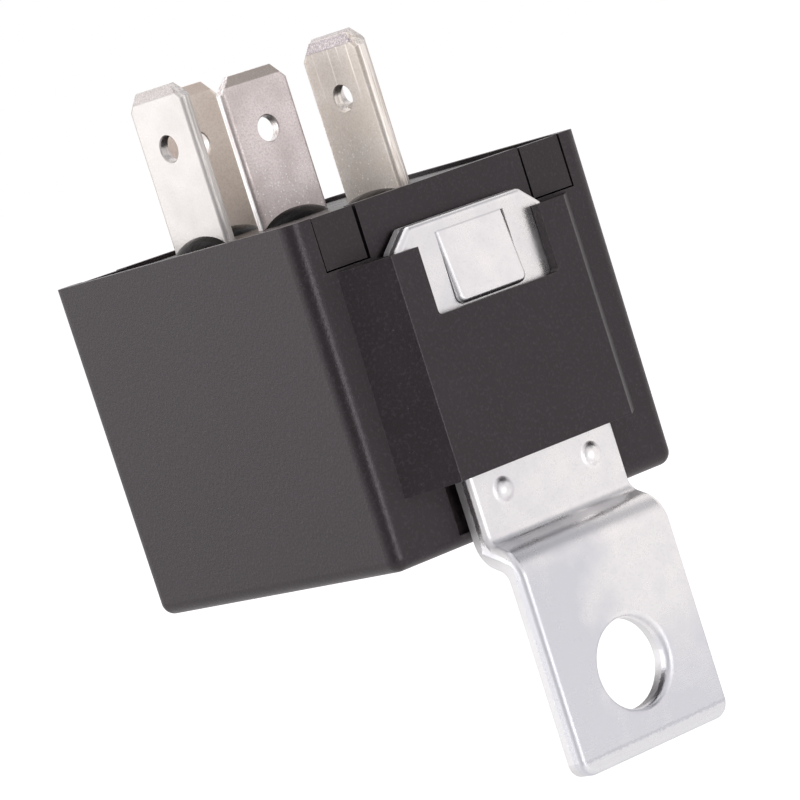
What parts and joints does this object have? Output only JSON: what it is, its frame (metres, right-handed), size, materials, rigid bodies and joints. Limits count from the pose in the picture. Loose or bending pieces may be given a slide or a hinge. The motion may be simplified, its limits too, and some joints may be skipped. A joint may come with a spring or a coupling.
{
  "type": "automotive relay",
  "caption": "Square changeover relay with a black case, flat blade terminals and a jogged steel bracket in a sleeve.",
  "frame": {"origin": "centre of the bracket's fixing hole, half way through the sheet", "axes": "+Z towards the blade tips, +Y from the bracket's outer face into the case, +X to the right seen from the bracket's side"},
  "size_m": [0.028, 0.0325, 0.0538],
  "materials": {
    "case_nylon": "fine satin grain",
    "plated_steel": "bright zinc plating",
    "base_nylon": "satin",
    "resin": "glossy potting resin",
    "blade_metal": "dull tin plating",
    "soft_iron": "plated",
    "bobbin_nylon": "natural nylon",
    "enamelled_copper": "enamelled",
    "spring_bronze": "rolled",
    "rivet_metal": "bright",
    "silver_alloy": "bright"
  },
  "bodies": {
    "housing": {"cover": "case_nylon", "mounting_bracket": "plated_steel", "base": "base_nylon", "resin_seal": "resin", "terminal_30": "blade_metal", "terminal_85": "blade_metal", "terminal_86": "blade_metal", "terminal_87": "blade_metal", "terminal_87a": "blade_metal", "yoke": "soft_iron", "core": "soft_iron", "bobbin": "bobbin_nylon", "coil_winding": "enamelled_copper", "coil_lead_85": "enamelled_copper", "coil_lead_86": "enamelled_copper", "yoke_rivets": "rivet_metal", "fixed_contact_87": "silver_alloy", "fixed_contact_87a": "silver_alloy"},
    "armature": {"armature": "soft_iron", "contact_spring": "spring_bronze", "armature_rivets": "rivet_metal", "moving_contact": "silver_alloy"}
  },
  "joints": [
    {"name": "armature_hinge", "type": "hinge", "parent": "housing", "child": "armature", "pos_m": [0, 0.0068, 0.0185], "axis": [1, 0, 0], "range_deg": [0, 3.3], "stiffness_Nm_per_rad": 0.05, "springref_deg": -5.73, "deforming": ["contact_spring"]}
  ]
}
